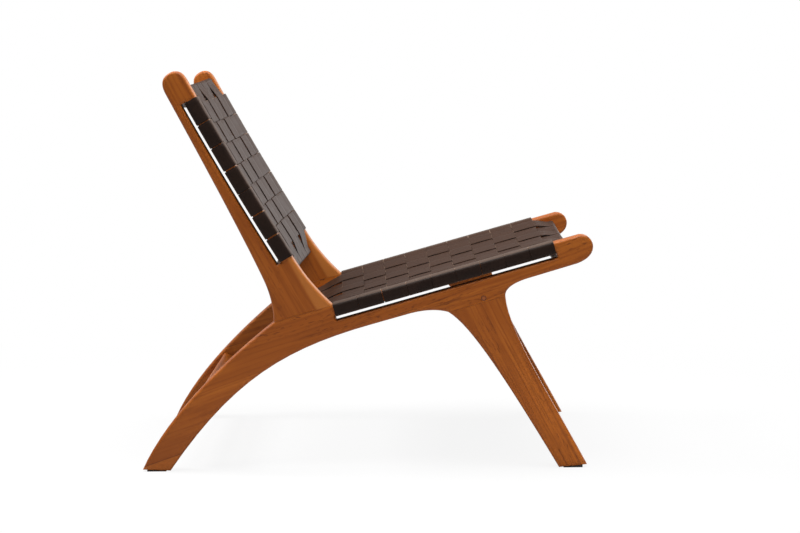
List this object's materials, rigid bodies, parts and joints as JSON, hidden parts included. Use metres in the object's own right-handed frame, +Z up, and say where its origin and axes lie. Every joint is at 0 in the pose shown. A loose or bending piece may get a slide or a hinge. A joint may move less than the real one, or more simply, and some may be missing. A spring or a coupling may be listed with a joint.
{
  "type": "lounge chair",
  "caption": "Low armless lounge chair with arched hardwood side frames, splayed legs, and a dished seat and back woven from flat leather straps.",
  "frame": {"origin": "on the floor under the middle of the bounding box", "axes": "+X to the front of the chair, +Y to the sitter's left, +Z up"},
  "size_m": [0.8034, 0.6056, 0.71],
  "materials": {
    "teak": "satin oiled",
    "leather": "semi-matt dark brown",
    "glide": "matt black"
  },
  "bodies": {
    "root": {"back_bottom_rail": "teak", "back_cross_strap_01": "leather", "back_cross_strap_02": "leather", "back_cross_strap_03": "leather", "back_cross_strap_04": "leather", "back_cross_strap_05": "leather", "back_cross_strap_06": "leather", "back_cross_strap_07": "leather", "back_long_strap_01": "leather", "back_long_strap_02": "leather", "back_long_strap_03": "leather", "back_long_strap_04": "leather", "back_long_strap_05": "leather", "back_long_strap_06": "leather", "back_long_strap_07": "leather", "back_long_strap_08": "leather", "back_long_strap_09": "leather", "back_long_strap_10": "leather", "back_long_strap_11": "leather", "back_top_rail": "teak", "left_back_post": "teak", "left_front_foot_glide": "glide", "left_front_leg": "teak", "left_leg_peg": "teak", "left_rear_foot_glide": "glide", "left_seat_rail_and_rear_leg": "teak", "rear_stretcher": "teak", "right_back_post": "teak", "right_front_foot_glide": "glide", "right_front_leg": "teak", "right_leg_peg": "teak", "right_rear_foot_glide": "glide", "right_seat_rail_and_rear_leg": "teak", "seat_cross_strap_01": "leather", "seat_cross_strap_02": "leather", "seat_cross_strap_03": "leather", "seat_cross_strap_04": "leather", "seat_cross_strap_05": "leather", "seat_cross_strap_06": "leather", "seat_cross_strap_07": "leather", "seat_cross_strap_08": "leather", "seat_cross_strap_09": "leather", "seat_front_rail": "teak", "seat_long_strap_01": "leather", "seat_long_strap_02": "leather", "seat_long_strap_03": "leather", "seat_long_strap_04": "leather", "seat_long_strap_05": "leather", "seat_long_strap_06": "leather", "seat_long_strap_07": "leather", "seat_long_strap_08": "leather", "seat_long_strap_09": "leather", "seat_long_strap_10": "leather", "seat_long_strap_11": "leather", "seat_rear_rail": "teak"}
  },
  "joints": []
}
